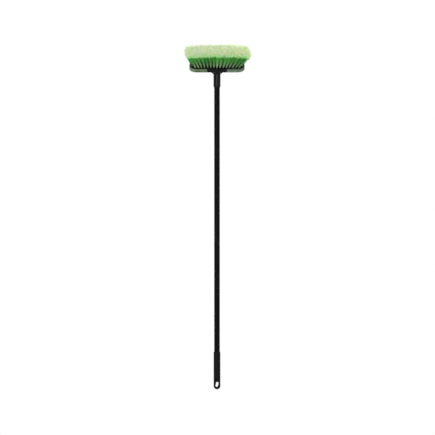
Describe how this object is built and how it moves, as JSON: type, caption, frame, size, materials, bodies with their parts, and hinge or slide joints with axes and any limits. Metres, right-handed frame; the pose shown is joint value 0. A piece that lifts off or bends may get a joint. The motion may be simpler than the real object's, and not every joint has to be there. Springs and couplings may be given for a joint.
{
  "type": "car wash brush",
  "caption": "Long-handled wash brush: tilted tufted head with a soft bumper, screw-on pole, grip with a hanging eye.",
  "frame": {"origin": "on the pole's axis at the middle of the hand's hold on the grip", "axes": "+Z along the pole from the grip to the head, -Y the way the tilted bristles lean, +X along the head"},
  "size_m": [0.2572, 0.1135, 1.3445],
  "materials": {
    "pole_coat": "satin black coat on steel tube",
    "grip": "soft black, matte",
    "tip": "moulded black",
    "washer": "black rubber",
    "saddle": "moulded black, satin",
    "block": "moulded black, satin",
    "bumper": "soft grey-green, satin",
    "screws": "bright zinc",
    "bristles": "green filaments with pale flagged tips"
  },
  "bodies": {
    "pole": {"pole_tube": "pole_coat", "grip": "grip", "threaded_tip": "tip"},
    "washer": {"socket_washer": "washer"},
    "head": {"saddle": "saddle", "block": "block", "bumper_left": "bumper", "bumper_right": "bumper", "screw_front_left": "screws", "screw_front_right": "screws", "screw_back_left": "screws", "screw_back_right": "screws", "tufts_row_1_left": "bristles", "tufts_row_1_middle": "bristles", "tufts_row_1_right": "bristles", "tufts_row_2_left": "bristles", "tufts_row_2_middle": "bristles", "tufts_row_2_right": "bristles", "tufts_row_3_left": "bristles", "tufts_row_3_middle": "bristles", "tufts_row_3_right": "bristles", "tufts_row_4_left": "bristles", "tufts_row_4_middle": "bristles", "tufts_row_4_right": "bristles", "tufts_row_5_left": "bristles", "tufts_row_5_middle": "bristles", "tufts_row_5_right": "bristles"}
  },
  "joints": [
    {"name": "head_rise", "type": "slide", "parent": "pole", "child": "washer", "axis": [0, 0, 1], "range_m": [0, 0.0255]},
    {"name": "head_turn", "type": "hinge", "parent": "washer", "child": "head", "pos_m": [0, 0, 1.1294], "axis": [0, 0, 1], "range_deg": [0, 1800]}
  ],
  "couplings": [
    {"joint": "head_rise", "follows": "head_turn", "m_per_rad": 0.00080851}
  ]
}
